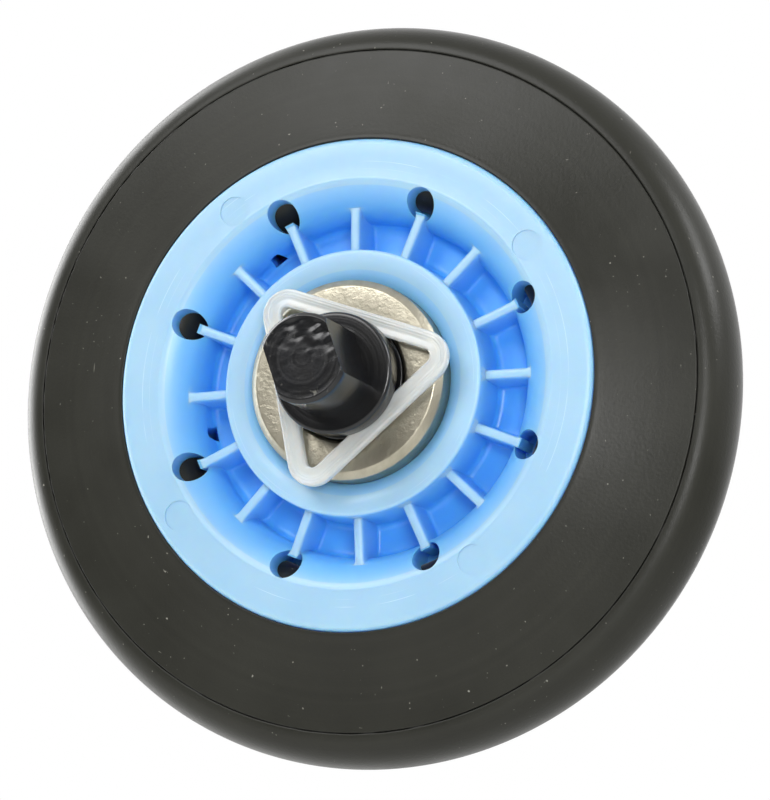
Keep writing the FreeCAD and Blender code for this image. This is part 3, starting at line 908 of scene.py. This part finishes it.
def bright_steel():
    """Plain bright steel, stamped and tumbled: grey and evenly dulled, with faint rings."""
    material, tree = new_material("bright_steel")
    _, _, rings = polar(tree, object_place(tree))
    turning = node(tree, "ShaderNodeTexNoise", None, {"Vector": rings, "Scale": per(0.3), "Detail": 3.0})
    gloss = node(tree, "ShaderNodeMapRange", None, {
        "Value": turning.outputs[0], "From Min": 0.3, "From Max": 0.7, "To Min": 0.3, "To Max": 0.45})
    colour = node(tree, "ShaderNodeMix", {"data_type": "RGBA"}, {
        0: turning.outputs[0], 6: linear("#b7b7b3"), 7: linear("#d5d5d2")})
    bump = node(tree, "ShaderNodeBump", None, {
        "Height": turning.outputs[0], "Strength": 0.2, "Distance": 0.03 * MM})
    surface(tree, Base_Color=colour.outputs[2], Roughness=gloss.outputs[0], Normal=bump.outputs[0],
            Metallic=1.0)
    return material


def pale_paper():
    """Matt white paper of the floor: even, with no shine, and faintly clouded."""
    material, tree = new_material("pale_paper")
    place = object_place(tree)
    cloud = node(tree, "ShaderNodeTexNoise", None, {"Vector": place, "Scale": per(60)})
    colour = node(tree, "ShaderNodeMix", {"data_type": "RGBA"}, {
        0: cloud.outputs[0], 6: linear("#efefed"), 7: linear("#f4f4f2")})
    surface(tree, Base_Color=colour.outputs[2], Roughness=0.8)
    return material


piece("rubber_tyre", tyre_shape(), "wheel", "tyre", nitrile_rubber())
piece("moulded_hub", hub_shape(), "wheel", "hub", blue_polyamide())
piece("bearing_bush", bush_shape(), "wheel", "bush", sintered_iron())
piece("fixed_shaft", shaft_shape(), "axle", "shaft", black_oxide_steel())
piece("clip_ring", clip_shape(), "axle", "retaining_clip", natural_nylon())
piece("plain_washer", washer_shape(), "axle", "thrust_washer", bright_steel())


def camera():
    """The photograph's camera, turned about its aim point and rolled about its own axis."""
    azimuth, elevation, roll = (math.radians(a) for a in (VIEW_AZIMUTH, VIEW_ELEVATION, VIEW_ROLL))
    back = Vector((
        math.sin(azimuth) * math.cos(elevation),
        -math.cos(azimuth) * math.cos(elevation),
        math.sin(elevation),
    ))
    level = Vector((math.cos(azimuth), math.sin(azimuth), 0.0))
    upright = back.cross(level)
    right = level * math.cos(roll) + upright * math.sin(roll)
    up = upright * math.cos(roll) - level * math.sin(roll)
    data = bpy.data.cameras.new("camera")
    data.lens = LENS
    data.sensor_width = SENSOR
    data.clip_start = 0.01
    data.clip_end = 10.0
    made = bpy.data.objects.new("camera", data)
    bpy.context.scene.collection.objects.link(made)
    place = (Vector(VIEW_AIM) + back * VIEW_DISTANCE) * MM
    made.matrix_world = Matrix.Translation(place) @ Matrix((right, up, back)).transposed().to_4x4()
    bpy.context.scene.camera = made


def area_lamp(name, place, size, watts):
    """A soft lamp turned to the roller, with its size and place in millimetres."""
    data = bpy.data.lights.new(name, "AREA")
    data.shape = "RECTANGLE"
    data.size = size[0] * MM
    data.size_y = size[1] * MM
    data.energy = watts
    made = bpy.data.objects.new(name, data)
    bpy.context.scene.collection.objects.link(made)
    turn = Vector(place).to_track_quat("Z", "Y").to_matrix().to_4x4()
    made.matrix_world = Matrix.Translation(Vector(place) * MM) @ turn


def studio():
    """A white room with one dim opening in front, a pale floor under the roller and four soft lamps. Straight
    from the camera the room is white; what shines sees it white too, but for the opening; and it lights
    matt surfaces at about a quarter of that strength, with the lamps for the rest."""
    world = bpy.data.worlds.new("studio")
    bpy.context.scene.world = world
    world.use_nodes = True
    tree = world.node_tree
    tree.nodes.clear()
    path = node(tree, "ShaderNodeLightPath")
    towards = node(tree, "ShaderNodeTexCoord").outputs["Generated"]
    azimuth, elevation = math.radians(DIM_AZIMUTH), math.radians(DIM_ELEVATION)
    level_way = math.cos(elevation)
    middle = (math.sin(azimuth) * level_way, -math.cos(azimuth) * level_way, math.sin(elevation))
    near = node(tree, "ShaderNodeVectorMath", {"operation": "DOT_PRODUCT"}, {0: towards, 1: middle})
    room = node(tree, "ShaderNodeMapRange", {"interpolation_type": "SMOOTHSTEP"}, {
        "Value": near.outputs["Value"], "From Min": math.cos(math.radians(DIM_OUTER)),
        "From Max": math.cos(math.radians(DIM_INNER)), "To Min": 1.0, "To Max": DIM_STRENGTH})
    shining = node(tree, "ShaderNodeMath", {"operation": "MAXIMUM"}, {
        0: path.outputs["Is Glossy Ray"], 1: path.outputs["Is Transmission Ray"]})
    shone = node(tree, "ShaderNodeMix", {"data_type": "FLOAT"}, {
        0: shining.outputs[0], 2: ROOM_LIGHT, 3: room.outputs[0]})
    strength = node(tree, "ShaderNodeMix", {"data_type": "FLOAT"}, {
        0: path.outputs["Is Camera Ray"], 2: shone.outputs[0], 3: 1.0})
    light = node(tree, "ShaderNodeBackground", None, {
        "Color": (1, 1, 1, 1), "Strength": strength.outputs[0]})
    node(tree, "ShaderNodeOutputWorld", None, {"Surface": light.outputs[0]})

    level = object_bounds()[0].z - FLOOR_DROP * MM
    mesh = bpy.data.meshes.new("floor")
    reach = FLOOR_REACH * MM
    sides = ((-1, -1), (1, -1), (1, 1), (-1, 1))
    mesh.from_pydata([(reach * x, reach * y, level) for x, y in sides], [], [(0, 1, 2, 3)])
    floor = bpy.data.objects.new("floor", mesh)
    bpy.context.scene.collection.objects.link(floor)
    mesh.materials.append(pale_paper())
    floor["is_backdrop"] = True
    area_lamp("key", KEY_PLACE, KEY_SIZE, KEY_WATTS)
    area_lamp("side", SIDE_PLACE, SIDE_SIZE, SIDE_WATTS)
    area_lamp("front", FRONT_PLACE, FRONT_SIZE, FRONT_WATTS)
    area_lamp("edge", EDGE_PLACE, EDGE_SIZE, EDGE_WATTS)


camera()
studio()
bpy.context.scene.view_settings.view_transform = "Standard"


def corners(box):
    """A box's two corners as plain lists."""
    return [list(corner) for corner in box]
